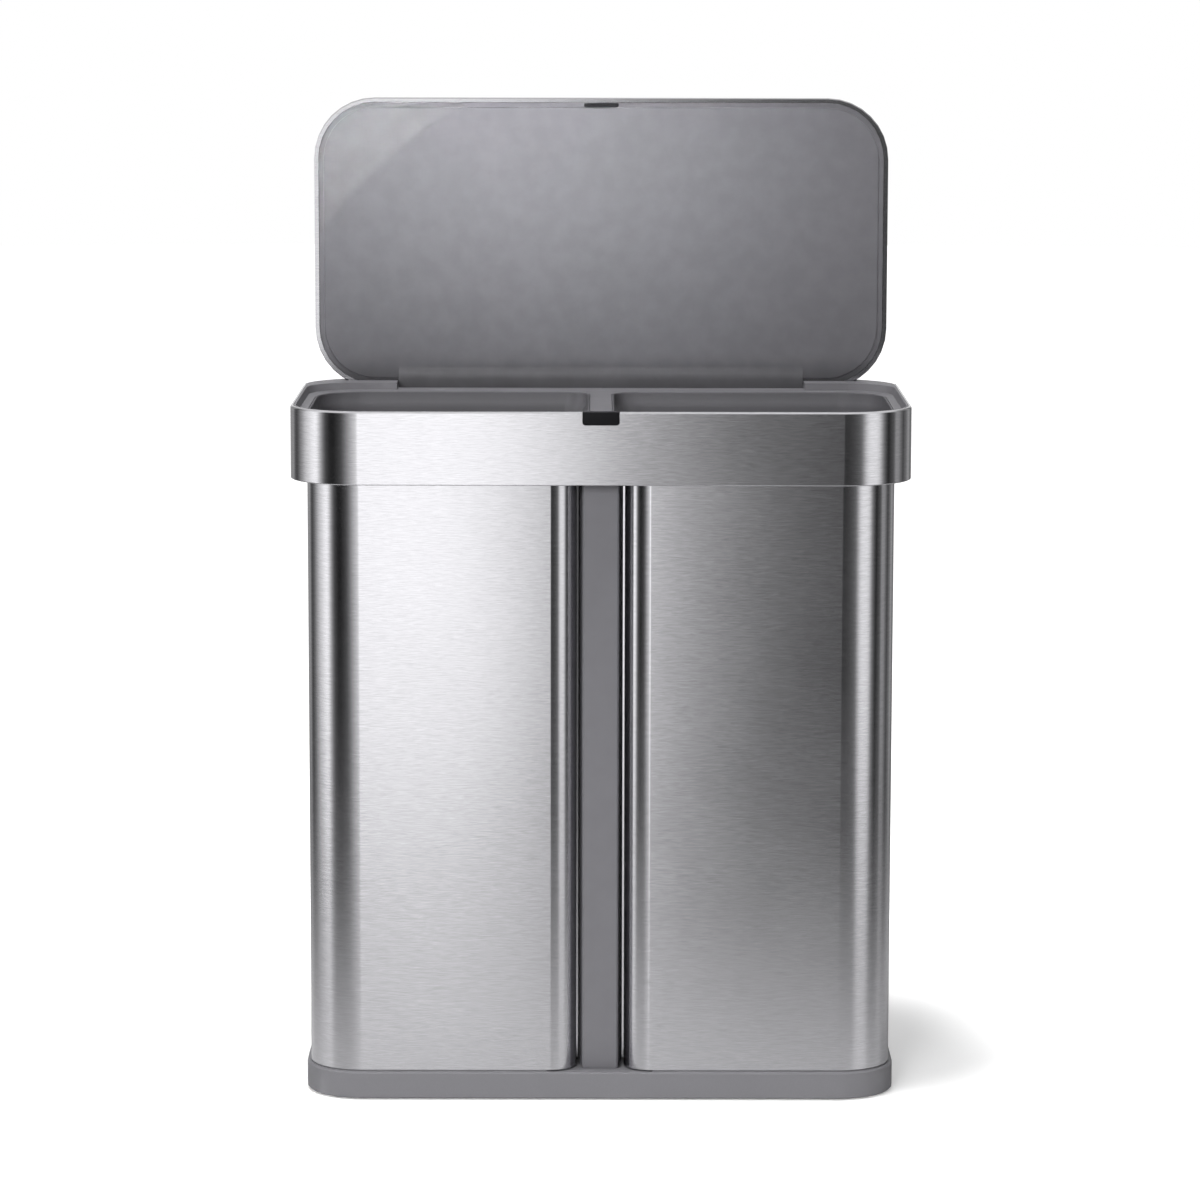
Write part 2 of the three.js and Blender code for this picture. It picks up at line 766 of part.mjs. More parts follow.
// the ring under the frame: it closes the band's underside, and its rib locates the shells from inside
const collarDrop = 24;
const collar = cut(
  solid(
    sweep([
      [spigotInset, flangeZ - collarDrop],
      [spigotInset, flangeZ + 1],
      [spigotInset + wall, flangeZ + 1],
      [spigotInset + wall, flangeZ - collarDrop],
    ]),
  ),
  grooveCut(flangeZ - collarDrop - 1, flangeZ),
);
const ringPlate = sweep([
  [frameInset, flangeZ],
  [frameInset, ringTop],
  [spigotInset + wall, ringTop],
  [spigotInset + wall, flangeZ],
]);
let shellRing = solid(ringPlate).add(collar);
// the sector gear passes through the trough's floor and its front and back walls
const sectorReach = (gear.module * (gear.sectorTeeth + 2)) / 2 + runGap;
const gearHalf = gear.width / 2 + 1;
const gearSpace = (y0, y1, z0, z1) =>
  solid(rodX(sectorReach, gear.x - gearHalf, gear.x + gearHalf, axisY, axisZ, 32)).intersect(
    solid(box(-gap, gap, y0, y1, z0, z1)),
  );
frame = frame
  .subtract(gearSpace(axisY, rearWall, troughUnder - 10, rimTop + 5))
  .subtract(gearSpace(axisY - sectorReach, axisY + 1, troughUnder - 10, underDeck - seatGap));

// ---------------------------------------------------------------- gear train

const meshAngle = THREE.MathUtils.degToRad(gear.mesh);
const centreDistance = (gear.module * (gear.sectorTeeth + gear.pinionTeeth)) / 2;
const pinionY = axisY + centreDistance * Math.cos(meshAngle);
const pinionZ = axisZ + centreDistance * Math.sin(meshAngle);

// An involute tooth's half angle at a radius.
function toothHalfAngle(teeth, radius) {
  const pressure = THREE.MathUtils.degToRad(gear.pressure);
  const pitch = (gear.module * teeth) / 2;
  const baseRadius = pitch * Math.cos(pressure);
  const involute = (angle) => Math.tan(angle) - angle;
  const at = Math.acos(Math.min(1, baseRadius / Math.max(radius, baseRadius)));
  const backlash = gear.backlash / pitch;
  return Math.PI / (2 * teeth) - backlash + involute(pressure) - involute(at);
}

// Gear outline round the origin: teeth centred on first + k pitches, k from 0 to count - 1.
function gearOutline(teeth, count, first, hub) {
  const pitch = (gear.module * teeth) / 2;
  const radii = [pitch - gear.dedendum * gear.module, pitch, pitch + gear.addendum * gear.module];
  const step = (2 * Math.PI) / teeth;
  const points = [];
  for (let k = 0; k < count; k++) {
    const centre = first + k * step;
    radii.forEach((r) => points.push([r, centre - toothHalfAngle(teeth, r)]));
    [...radii].reverse().forEach((r) => points.push([r, centre + toothHalfAngle(teeth, r)]));
  }
  if (count < teeth) {
    const last = first + (count - 1) * step;
    const start = last + step / 2;
    const sweepBack = 2 * Math.PI - (count * step);
    for (let i = 0; i <= 14; i++) points.push([hub, start + (sweepBack * i) / 14]);
  }
  return points.map(([r, angle]) => [r * Math.cos(angle), r * Math.sin(angle)]);
}

const gearX0 = gear.x - gear.width / 2;
const gearX1 = gear.x + gear.width / 2;
const toothStep = (2 * Math.PI) / gear.sectorTeeth;
const travel = THREE.MathUtils.degToRad(hinge.travel);
// the sector is drawn with the lid closed; open, it lies a quarter turn back
const sectorFirst = meshAngle + travel - (gear.kept - 1 - gear.after) * toothStep;
const sectorPoints = gearOutline(gear.sectorTeeth, gear.kept, sectorFirst, hinge.hub / 2);
const sector = cut(
  join(slab(sectorPoints, gearX0, gearX1)),
  rodX(hinge.rod / 2 + seatGap, gearX0 - 1, gearX1 + 1, 0, 0, 16),
);
piece("lid_sector_gear", sector, whiteNylon, lidGroup);

const pinionStep = (2 * Math.PI) / gear.pinionTeeth;
const pinionFirst = meshAngle + Math.PI + pinionStep / 2;
const pinionPoints = gearOutline(gear.pinionTeeth, gear.pinionTeeth, pinionFirst, 0);
const bracketX = gearX1 + 1.2;
const pinionSolid = join(
  slab(pinionPoints, gearX0 - 0.5, gearX1 + 0.5),
  rodX(motor.shaft / 2, gearX1, bracketX + motor.bracket + seatGap + 3, 0, 0, 20),
);
const pinion = piece("drive_pinion", pinionSolid, whiteNylon);
pinion.position.set(0, pinionY, pinionZ);

const gearboxX = bracketX + motor.bracket + seatGap;
const gearbox = cut(
  join(
    rodX(motor.caseDiameter / 2, gearboxX, gearboxX + motor.gearbox, pinionY, pinionZ),
    rodX(motor.collar, bracketX + seatGap, gearboxX + 1, pinionY, pinionZ, 24),
  ),
  rodX(motor.shaft / 2 + 0.3, bracketX - 1, gearboxX + 3.5, pinionY, pinionZ, 20),
);
piece("gearbox", gearbox, plainSteel);
const motorX = gearboxX + motor.gearbox + seatGap;
const motorEnd = motorX + motor.length + motor.bossLength;
const motorBody = join(
  rodX(motor.caseDiameter / 2 - 0.6, motorX, motorX + motor.length, pinionY, pinionZ),
  rodX(motor.boss, motorX + motor.length - 1, motorEnd, pinionY, pinionZ, 24),
);
piece("motor", motorBody, plainSteel);
const bracketFoot = flangeZ + floorWall + seatGap;
const bracketBack = rearWall - 1.5;
const bracketFootTop = bracketFoot + motor.bracket;
const bracketFootX = bracketX + motor.foot;
const screwPlaces = [
  ["inner_bracket_screw", bracketX + motor.bracket + 5],
  ["outer_bracket_screw", bracketFootX - 5],
];
const screwY = bracketBack - 5;
const screwHole = screw.shank / 2 + seatGap;
const screwLow = flangeZ + floorWall - screw.bite;
const bracket = cut(
  join(
    box(
      bracketX,
      bracketX + motor.bracket,
      trayFront + 4,
      bracketBack,
      bracketFoot,
      troughUnder - seatGap,
    ),
    box(bracketX, bracketFootX, pinionY - 4, bracketBack, bracketFoot, bracketFootTop),
  ),
  rodX(motor.collar + seatGap, bracketX - 1, bracketX + motor.bracket + 1, pinionY, pinionZ, 24),
  ...screwPlaces.map(([, x]) => rodZ(screwHole, x, screwY, bracketFoot - 1, bracketFootTop + 1, 16)),
);
piece("motor_bracket", bracket, plainSteel);
screwPlaces.forEach(([name, x]) => {
  const headLow = bracketFootTop + seatGap;
  const headTop = headLow + screw.headHeight;
  const body = cut(
    join(
      rodZ(screw.shank / 2, x, screwY, screwLow, headLow + 1, 16),
      rodZ(screw.head / 2, x, screwY, headLow, headTop, 20),
    ),
    rodZ(screw.drive / 2, x, screwY, headTop - 1.2, headTop + 1, 6),
  );
  piece(name, body, plainSteel);
});
shellRing = cut(
  shellRing,
  ...screwPlaces.map(([, x]) => rodZ(screwHole, x, screwY, screwLow - seatGap, ringTop + 1, 16)),
);
piece("shell_ring", shellRing, greyPlastic);

piece("rim_frame", frame, greyPlastic);

// ---------------------------------------------------------------- lid, drawn closed about its axis

const lidHalf = halfWidth - lid.sideInset;
const lidBack = -lid.rearToAxis;
const lidLoop = (inset, z) =>
  loop(-lidHalf + inset, lidHalf - inset, lidFront + inset, lidBack - inset, lid.corner - inset, z);
const lidRoll = lidOuter - lid.roll;
const skinSection = [
  [lid.hem, lidUnder],
  [1, lidUnder],
  [0.2, lidUnder + 0.6],
  ...arc(lid.roll, lidRoll, lid.roll, 180, 90, 4),
];
const skinInside = [
  ...arc(lid.roll, lidRoll, lid.roll - steel, 90, 180, 3),
  [steel + 0.1, lidUnder + steel + 0.4],
  [lid.hem, lidUnder + steel],
];
// the pan's outside from the hem up to the middle of its top, then its inside back to the hem
const skinLoops = [...skinSection, ...skinInside].map(([inset, z]) => lidLoop(inset, z));
const skinRing = loft(skinLoops, true);
const skinTop = loft([
  lidLoop(lid.roll - 0.05, lidOuter - steel),
  lidLoop(lid.roll - 0.05, lidOuter),
]);
piece("lid_skin", join(skinRing, skinTop), brushedSteel, lidGroup);

// the liner: a field that stands level with the hem, and a tongue that wraps down round the axis
const linerInset = lid.hem + seatGap;
const fieldInset = lid.hem + lid.step;
const stepZ = lidUnder + lid.sunk;
const linerTop = stepZ + lid.liner;
const linerPlate = loft([
  lidLoop(fieldInset + lid.bevel, lidUnder),
  lidLoop(fieldInset + lid.bevel * 0.3, lidUnder + lid.sunk * 0.35),
  lidLoop(fieldInset, stepZ),
  lidLoop(linerInset, stepZ),
  lidLoop(linerInset, linerTop),
]);
const upstandTop = lidOuter - steel - seatGap;
const upstand = loft(
  [
    [linerInset + 1, linerTop - 0.5],
    [linerInset + 1, upstandTop],
    [linerInset + 1 + wall, upstandTop],
    [linerInset + 1 + wall, linerTop - 0.5],
  ].map(([inset, z]) => lidLoop(inset, z)),
  true,
);
const tongueHalf = gap - runGap;
const tongueTop = lidUnder - seatGap;
const tongueInner = tongueTop - lid.tongue;
const tongueEnd = -20; // degrees: the tongue wraps from the top of its turn to this angle behind it
const tongueSection = [
  [-26, lidUnder + 0.5],
  [-26, lidUnder],
  [-18, tongueInner + 1],
  [-12, tongueInner],
  ...arc(0, 0, tongueInner, 90, tongueEnd, 9),
  ...arc(0, 0, tongueTop, tongueEnd, 90, 9),
  [-fieldInset - lid.rearToAxis, tongueTop],
  [-fieldInset - lid.rearToAxis, lidUnder + 0.5],
];
let liner = join(linerPlate, upstand, slab(tongueSection, -tongueHalf, tongueHalf));
// webs from the tongue to the hubs on the rod: each stays under the deck's level when the lid is open
const endHub = 9;
const webWidth = 2;
const webPitch = 65;
const webs = [
  [-tongueHalf, endHub],
  ...[-2, -1, 0, 1].map((i) => [i * webPitch, webWidth]),
  [gearX0 - seatGap - webWidth, webWidth],
  [tongueHalf - endHub, endHub],
];
webs.forEach(([x, width]) => {
  const web = [[0, 0], ...arc(0, 0, tongueInner + 0.3, tongueEnd + 4, 86, 6)];
  liner = liner.add(solid(slab(web, x, x + width)));
  liner = liner.add(solid(rodX(hinge.hub / 2, x, x + width, 0, 0, 16)));
});
const sectorLow = gear.mesh - 15;
const sectorHigh = (toothStep * 180) / Math.PI + gear.mesh + hinge.travel + 6;
liner = cut(
  liner,
  rodX(hinge.rod / 2 + seatGap, -tongueHalf - 1, tongueHalf + 1, 0, 0, 16),
  slab(
    [[-0.01, 0], ...arc(0, 0, tongueTop + 3, sectorLow, sectorHigh, 10)],
    gearX0 - seatGap,
    gearX1 + seatGap,
  ),
);
piece("lid_liner", liner, greyPlastic, lidGroup);

const bumperDepth = 3.6;
const bumperY = lidFront + lid.hem + 0.9 + bumperDepth / 2;
const bumperLoop = (inset, z) =>
  loop(
    -sensor.width / 2 + inset,
    sensor.width / 2 - inset,
    bumperY - bumperDepth / 2 + inset,
    bumperY + bumperDepth / 2 - inset,
    bumperDepth / 2 - 0.1 - inset,
    z,
    5,
  );
piece(
  "lid_bumper",
  loft([
    bumperLoop(0.5, lidUnder - 0.9),
    bumperLoop(0, lidUnder - 0.4),
    bumperLoop(0, stepZ - seatGap),
  ]),
  blackRubber,
  lidGroup,
);

// the rod that the lid turns on, in a bush in each block
const rodEnd = gap + hinge.bushLength + 1;
piece("hinge_rod", rodX(hinge.rod / 2, -rodEnd, rodEnd, axisY, axisZ, 16), plainSteel);
[
  ["left_bush", -gap - hinge.bushLength],
  ["right_bush", gap],
].forEach(([name, x]) => {
  const bush = cut(
    solid(rodX(hinge.bush / 2, x, x + hinge.bushLength, axisY, axisZ, 24)),
    rodX(hinge.rod / 2 + seatGap, x - 1, x + hinge.bushLength + 1, axisY, axisZ, 16),
  );
  piece(name, bush, whiteNylon);
});

// ---------------------------------------------------------------- sensor

const sensorTop = rimTop - 0.2;
const sensorBody = join(
  frontSlab(notchOutline(-sensor.fit), -halfDepth, -halfDepth + sensor.depth),
  box(
    -sensor.width / 2 + sensor.fit,
    sensor.width / 2 - sensor.fit,
    -halfDepth + sensor.depth - 1,
    -halfDepth + sensor.capDepth,
    deckTop + seatGap,
    sensorTop,
  ),
).intersect(solid(box(-sensor.width, sensor.width, -halfDepth - 1, 0, 0, sensorTop)));
piece("sensor_window", sensorBody, blackGloss);

const sensorBoardY = -halfDepth + frameInset + wall + seatGap;
const sensorBoardTop = rimTop - sensor.height - sensor.fit - 1.2;
const sensorBoard = box(
  -sensor.width / 2,
  sensor.width / 2,
  sensorBoardY,
  sensorBoardY + board.thickness,
  sensorBoardTop - sensor.board,
  sensorBoardTop,
);
piece("sensor_board", sensorBoard, greenBoard);

// ---------------------------------------------------------------- control board and leads

const boardLow = boardTop - board.thickness;
const plugLow = boardTop - 7;
const controlBoard = join(
  box(board.x - boardHalf, board.x + boardHalf, boardY0, boardY0 + board.depth, boardLow, boardTop),
  box(board.x - 30, board.x - 14, boardY0 + 6, boardY0 + 18, boardTop - 5, boardTop - 1),
  box(board.x + 2, board.x + 12, boardY0 + 8, boardY0 + 18, boardTop - 3.2, boardTop - 1),
  box(inlet.x - 6, inlet.x + 6, boardY0 + 20, boardY0 + 28, plugLow, boardTop - 1),
);
piece("control_board", controlBoard, greenBoard);

const ribbonZ = underDeck - seatGap;
const ribbonHalf = 5;
const ribbonBack = boardY0 + 8;
const ribbonFront = sensorBoardY + board.thickness + seatGap;
const ribbon = join(
  box(-ribbonHalf, ribbonHalf, ribbonFront, ribbonFront + 0.8, sensorBoardTop - 10, ribbonZ),
  box(-ribbonHalf, ribbonHalf, ribbonFront, ribbonBack + 8, ribbonZ - 0.8, ribbonZ),
  box(board.x + 20, ribbonHalf, ribbonBack, ribbonBack + 8, ribbonZ - 0.8, ribbonZ),
  box(board.x + 20, board.x + 20.8, ribbonBack, ribbonBack + 8, boardTop + seatGap, ribbonZ),
);
piece("sensor_ribbon", ribbon, leadJacket);

// ---------------------------------------------------------------- battery

const trayBottom = bracketFoot;
const trayInnerZ = trayBottom + tray.wall;
const cellZ = trayInnerZ + seatGap + cell.diameter / 2;
const trayTop = trayBottom + trayHeight;
const trayBody = cut(
  join(box(-trayHalf, trayHalf, trayFront, trayBack, trayBottom, trayTop)),
  box(
    -trayHalf + tray.wall,
    trayHalf - tray.wall,
    trayFront + tray.wall,
    trayBack + 5,
    trayInnerZ,
    trayTop - tray.wall,
  ),
);
piece("battery_tray", trayBody, basePlastic);
for (let i = 0; i < cell.count; i++) {
  const x0 = -rowLength / 2 + cell.gap + i * (cell.length + cell.gap);
  const r = cell.diameter / 2;
  const profile = [
    [0, 0],
    [r - 1, 0],
    [r, 1],
    [r, cell.length - 3.5],
    [r - 2, cell.length - 1.8],
    [3.3, cell.length - 1.8],
    [3, cell.length],
    [0, cell.length],
  ].map(([radius, h]) => new THREE.Vector2(radius, h));
  const jacket = new THREE.LatheGeometry(profile, 16).rotateZ(-Math.PI / 2);
  piece(`battery_cell_${i + 1}`, jacket, cellJacket).position.set(x0, cellY, cellZ);
}
[
  ["left_contact", -rowLength / 2 - cell.contact],
  ["right_contact", rowLength / 2],
].forEach(([name, x0]) => {
  const plate = box(x0, x0 + cell.contact, cellY - 8, cellY + 8, cellZ - 10, cellZ + 10);
  piece(name, plate, plainSteel);
});

const doorEdge = doorHalf - door.fit;
const doorInner = door.wall - door.round;
const doorSection = [
  ...arc(doorPinY, doorPinZ, door.round, -90, 0, 6),
  [doorFaceY, doorHigh - door.fit],
  [doorFaceY - door.wall, doorHigh - door.fit],
  [doorFaceY - door.wall, doorPinZ - Math.sqrt(door.round ** 2 - doorInner ** 2)],
];
const pinEnd = doorHalf + door.pinLength - 1;
const doorBody = cut(
  join(
    slab(doorSection, -doorEdge, doorEdge),
    rodX(door.pin / 2, -pinEnd, pinEnd, doorPinY, doorPinZ, 12),
  ),
  rodX(
    door.thumb,
    -door.thumbHalf,
    door.thumbHalf,
    doorFaceY + door.thumb - door.thumbDepth,
    doorHigh - 6,
    40,
  ),
);
piece("battery_door", doorBody, basePlastic);

// ---------------------------------------------------------------- inlet and switch

const inletBack = rearWall - inlet.body;
const inletBody = cut(
  join(
    rodY(inlet.diameter / 2 - 0.2, inlet.x, inletBack, halfDepth - 0.4, inletZ),
    box(inlet.x - 6, inlet.x + 6, inletBack, rearWall - seatGap, inletZ - 6, inletZ + 6),
  ),
  rodY(inlet.bore / 2, inlet.x, halfDepth - inlet.depth, halfDepth + 1, inletZ),
).add(solid(rodY(inlet.pin / 2, inlet.x, halfDepth - inlet.depth - 1, halfDepth - 1.4, inletZ, 12)));
piece("supply_inlet", inletBody, blackRubber);

const switchHalf = powerSwitch.width / 2;
const switchBody = cut(
  join(
    box(
      powerSwitch.x - switchHalf - powerSwitch.flange,
      powerSwitch.x + switchHalf + powerSwitch.flange,
      rearWall - powerSwitch.body,
      rearWall - seatGap,
      switchZ - powerSwitch.height / 2 - 2,
      switchZ + powerSwitch.height / 2 + 2,
    ),
    box(
      powerSwitch.x - switchHalf + 0.2,
      powerSwitch.x + switchHalf - 0.2,
      rearWall - 2,
      halfDepth - 1.2,
      switchZ - powerSwitch.height / 2 + 0.2,
      switchZ + powerSwitch.height / 2 - 0.2,
    ),
  ),
  box(
    powerSwitch.x - switchHalf + powerSwitch.frame,
    powerSwitch.x + switchHalf - powerSwitch.frame,
    rearWall - 4,
    halfDepth,
    switchZ - powerSwitch.height / 2 + powerSwitch.frame,
    switchZ + powerSwitch.height / 2 - powerSwitch.frame,
  ),
);
piece("switch_body", switchBody, blackRubber);
const knobX = powerSwitch.x - powerSwitch.travel;
const knobHalfHeight = powerSwitch.height / 2 - powerSwitch.frame - seatGap;
piece(
  "switch_knob",
  join(
    box(
      knobX - powerSwitch.knob / 2,
      knobX + powerSwitch.knob / 2,
      rearWall - 4 + seatGap,
      halfDepth - 1.6,
      switchZ - knobHalfHeight,
      switchZ + knobHalfHeight,
    ),
    box(
      knobX - powerSwitch.rib,
      knobX + powerSwitch.rib,
      rearWall - 2,
      halfDepth - 0.4,
      switchZ - knobHalfHeight,
      switchZ + knobHalfHeight,
    ),
  ),
  whiteNylon,
);

// ---------------------------------------------------------------- leads to the control board

const boardMiddle = (boardLow + boardTop) / 2;
const boardEdge = board.x + boardHalf + seatGap;
const leadX = motorEnd + 6;
const motorLeadY = boardY0 + 5;
const batteryLeadY = boardY0 + 16;
const supplyLeadY = boardY0 + 23;
const trayEnd = -trayHalf - seatGap;
const leads = [
  ["motor_lead", [
    [motorEnd + seatGap, pinionY, pinionZ],
    [leadX, pinionY, pinionZ],
    [leadX, motorLeadY, pinionZ],
    [leadX, motorLeadY, boardMiddle],
    [boardEdge, motorLeadY, boardMiddle],
  ]],
  ["battery_lead", [
    [trayEnd, cellY - 6, cellZ],
    [trayEnd - 4.5, cellY - 6, cellZ],
    [trayEnd - 4.5, batteryLeadY, cellZ],
    [trayEnd - 4.5, batteryLeadY, boardMiddle],
    [boardEdge, batteryLeadY, boardMiddle],
  ]],
  ["supply_lead", [
    [inlet.x, inletBack - seatGap, inletZ],
    [inlet.x, supplyLeadY, inletZ],
    [inlet.x, supplyLeadY, plugLow - seatGap],
  ]],
  ["switch_lead", [
    [powerSwitch.x, rearWall - powerSwitch.body - seatGap, switchZ],
    [powerSwitch.x, supplyLeadY, switchZ],
    [powerSwitch.x, supplyLeadY, boardLow - seatGap],
  ]],
];
leads.forEach(([name, path]) => piece(name, leadAlong(path), leadJacket));

// ---------------------------------------------------------------- buckets

function bucketLoop(side, inset, neck, z) {
  const near = opening.bridge / 2 + opening.fit + inset + neck;
  const far = halfWidth - opening.sideInset - opening.fit - inset;
  const front = -(halfDepth - opening.sideInset - opening.fit) + inset;
  const back = halfDepth - opening.rearInset - opening.fit - inset;
  const outerFront = rimCorner - opening.sideInset - opening.fit - inset;
  const outerRear = opening.outerRear - opening.fit - inset;
  const inner = opening.inner - opening.fit - inset * 0.4;
  return side > 0
    ? loop(near, far, front, back, [outerRear, inner, inner, outerFront], z, 7)
    : loop(-far, -near, front, back, [inner, outerRear, outerFront, inner], z, 7);
}
function bucketBody(side) {
  const t = bucket.wall;
  const lipZ = deckTop + bucket.lipRise;
  const under = shoulderZ + seatGap;
  const step = opening.shoulder + opening.fit;
  const neckZ = deckTop - bucket.neckDrop;
  const neck = bucket.neckInner;
  const low = step + bucket.taper;
  const outside = [
    [low + bucket.foot, neck, bucket.bottom],
    [low + bucket.foot * 0.3, neck, bucket.bottom + bucket.foot * 0.3],
    [low, neck, bucket.bottom + bucket.foot],
    [step + 1, neck, neckZ],
    [step, 0, under - 3],
    [step, 0, under],
    [0, 0, under],
    [0, 0, lipZ - 0.8],
    [0.8, 0, lipZ],
  ];
  const inside = [
    [t - 0.6, 0, lipZ],
    [t, 0, lipZ - 0.8],
    [t + 0.6, 0, under + 2],
    [step + t, 0, under - 3],
    [step + 1 + t, neck, neckZ],
    [low + t, neck, bucket.bottom + bucket.foot],
    [low + bucket.foot * 0.3 + t, neck, bucket.bottom + bucket.foot * 0.3 + t],
    [low + bucket.foot + t, neck, bucket.bottom + t],
  ];
  const loops = [...outside, ...inside].map(([inset, extra, z]) => bucketLoop(side, inset, extra, z));
  const body = solid(loft(loops));
  const gripHigh = deckTop - grip.below;
  const middleY = ((halfDepth - opening.rearInset) - (halfDepth - opening.sideInset)) / 2;
  const r = grip.height / 2;
  const half = grip.width / 2 - r;
  const slot = slab(
    [
      ...arc(middleY - half, gripHigh - r, r, 90, 270, 8),
      ...arc(middleY + half, gripHigh - r, r, 270, 450, 8),
    ],
    -halfWidth,
    halfWidth,
  );
  return body.subtract(solid(slot));
}
piece("left_bucket", bucketBody(-1), greyPlastic);
piece("right_bucket", bucketBody(1), greyPlastic);

export default bin;
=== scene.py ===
import json
import math

import bmesh
import bpy
from mathutils import Matrix, Vector

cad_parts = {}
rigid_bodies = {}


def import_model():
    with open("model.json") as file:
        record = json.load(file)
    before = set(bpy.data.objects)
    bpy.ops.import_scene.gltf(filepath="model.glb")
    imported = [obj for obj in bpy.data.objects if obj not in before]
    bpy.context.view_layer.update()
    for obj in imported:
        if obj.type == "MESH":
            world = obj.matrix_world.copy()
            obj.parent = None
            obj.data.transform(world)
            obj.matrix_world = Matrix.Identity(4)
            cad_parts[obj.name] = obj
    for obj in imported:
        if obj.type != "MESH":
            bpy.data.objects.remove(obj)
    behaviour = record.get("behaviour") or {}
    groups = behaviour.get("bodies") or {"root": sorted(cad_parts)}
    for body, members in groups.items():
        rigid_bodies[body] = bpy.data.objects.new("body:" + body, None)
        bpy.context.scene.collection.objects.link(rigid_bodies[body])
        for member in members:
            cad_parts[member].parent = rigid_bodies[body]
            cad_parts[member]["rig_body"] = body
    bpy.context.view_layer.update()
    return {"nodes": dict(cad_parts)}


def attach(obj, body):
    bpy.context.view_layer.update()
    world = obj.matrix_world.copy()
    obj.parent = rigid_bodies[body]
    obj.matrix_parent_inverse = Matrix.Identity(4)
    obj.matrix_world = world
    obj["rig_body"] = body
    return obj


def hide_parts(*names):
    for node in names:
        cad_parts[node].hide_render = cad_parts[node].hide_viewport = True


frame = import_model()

nodes = frame["nodes"]
print("frame loaded:", len(nodes), "nodes")

photoCamera = {
    "lens": 136.725,  # mm
    "sensor": 36,
    "place": (-0.004226, -4.430061, 1.115629),
    "tiltDown": 8.357,
    "turnRight": 0.054,
    "roll": 0.108,
    "shift": (-0.5 / 1200, 0.5 / 1200),  # half a pixel of the photo
    "farthest": 60,
}


def makeCamera(values):
    data = bpy.data.cameras.new("photoCamera")
    data.lens = values["lens"]
    data.sensor_width = values["sensor"]
    data.shift_x, data.shift_y = values["shift"]
    data.clip_end = values["farthest"]
    camera = bpy.data.objects.new("photoCamera", data)
    turn = Matrix.Rotation(math.radians(-values["turnRight"]), 4, "Z")
    tilt = Matrix.Rotation(math.radians(90 - values["tiltDown"]), 4, "X")
    roll = Matrix.Rotation(math.radians(values["roll"]), 4, "Z")
    camera.matrix_world = Matrix.Translation(values["place"]) @ turn @ tilt @ roll
    bpy.context.scene.collection.objects.link(camera)
    bpy.context.scene.camera = camera


makeCamera(photoCamera)
print("camera placed")


def addNode(tree, kind, place=(0, 0), **settings):
    node = tree.nodes.new(kind)
    node.location = place
    for name, value in settings.items():
        setattr(node, name, value)
    return node


def feed(tree, socket, value):
    # a socket gets a link, a number or a colour
    if isinstance(value, bpy.types.NodeSocket):
        tree.links.new(value, socket)
    elif isinstance(value, (int, float)):
        socket.default_value = value
    else:
        socket.default_value = (*value, 1)


def mathNode(tree, operation, a, b=None, c=None, clamp=False):
    node = addNode(tree, "ShaderNodeMath", operation=operation, use_clamp=clamp)
    for socket, value in zip(node.inputs, (a, b, c)):
        if value is not None:
            feed(tree, socket, value)
    return node.outputs[0]


def times(tree, a, b):
    return mathNode(tree, "MULTIPLY", a, b)


def mapRange(tree, value, old, new=(0, 1), smooth=False):
    node = addNode(tree, "ShaderNodeMapRange")
    node.interpolation_type = "SMOOTHSTEP" if smooth else "LINEAR"
    tree.links.new(value, node.inputs["Value"])
    for name, number in zip(("From Min", "From Max", "To Min", "To Max"), (*old, *new)):
        node.inputs[name].default_value = number
    return node.outputs["Result"]


def mixColours(tree, factor, a, b, blend="MIX"):
    node = addNode(tree, "ShaderNodeMix", data_type="RGBA", blend_type=blend)
    for name, value in ((0, factor), (6, a), (7, b)):
        feed(tree, node.inputs[name], value)
    return node.outputs[2]


def mixNumbers(tree, factor, a, b):
    node = addNode(tree, "ShaderNodeMix", data_type="FLOAT")
    for name, value in ((0, factor), (2, a), (3, b)):
        feed(tree, node.inputs[name], value)
    return node.outputs[0]


def objectPlace(tree):
    return addNode(tree, "ShaderNodeTexCoord").outputs["Object"]


def startGroup(name, inputs):
    # each pattern takes named values and gives a colour, a roughness and a height for bump
    group = bpy.data.node_groups.new(name, "ShaderNodeTree")
    for label, value in inputs.items():
        kind = "NodeSocketColor" if isinstance(value, tuple) else "NodeSocketFloat"
        socket = group.interface.new_socket(label, in_out="INPUT", socket_type=kind)
        socket.default_value = value
    group.interface.new_socket("Colour", in_out="OUTPUT", socket_type="NodeSocketColor")
    group.interface.new_socket("Roughness", in_out="OUTPUT", socket_type="NodeSocketFloat")
    group.interface.new_socket("Height", in_out="OUTPUT", socket_type="NodeSocketFloat")
    return group, addNode(group, "NodeGroupInput").outputs


def endGroup(group, colour, rough, height):
    end = addNode(group, "NodeGroupOutput")
    group.links.new(colour, end.inputs["Colour"])
    group.links.new(rough, end.inputs["Roughness"])
    group.links.new(height, end.inputs["Height"])
    return group


def noiseOn(tree, vector, scale, detail, roughness=0.5):
    node = addNode(tree, "ShaderNodeTexNoise")
    feed(tree, node.inputs["Scale"], scale)
    feed(tree, node.inputs["Detail"], float(detail))
    feed(tree, node.inputs["Roughness"], roughness)
    tree.links.new(vector, node.inputs["Vector"])
    return node.outputs["Fac"]


def stretched(tree, vector, scale):
    node = addNode(tree, "ShaderNodeMapping")
    node.inputs["Scale"].default_value = scale
    tree.links.new(vector, node.inputs["Vector"])
    return node.outputs["Vector"]


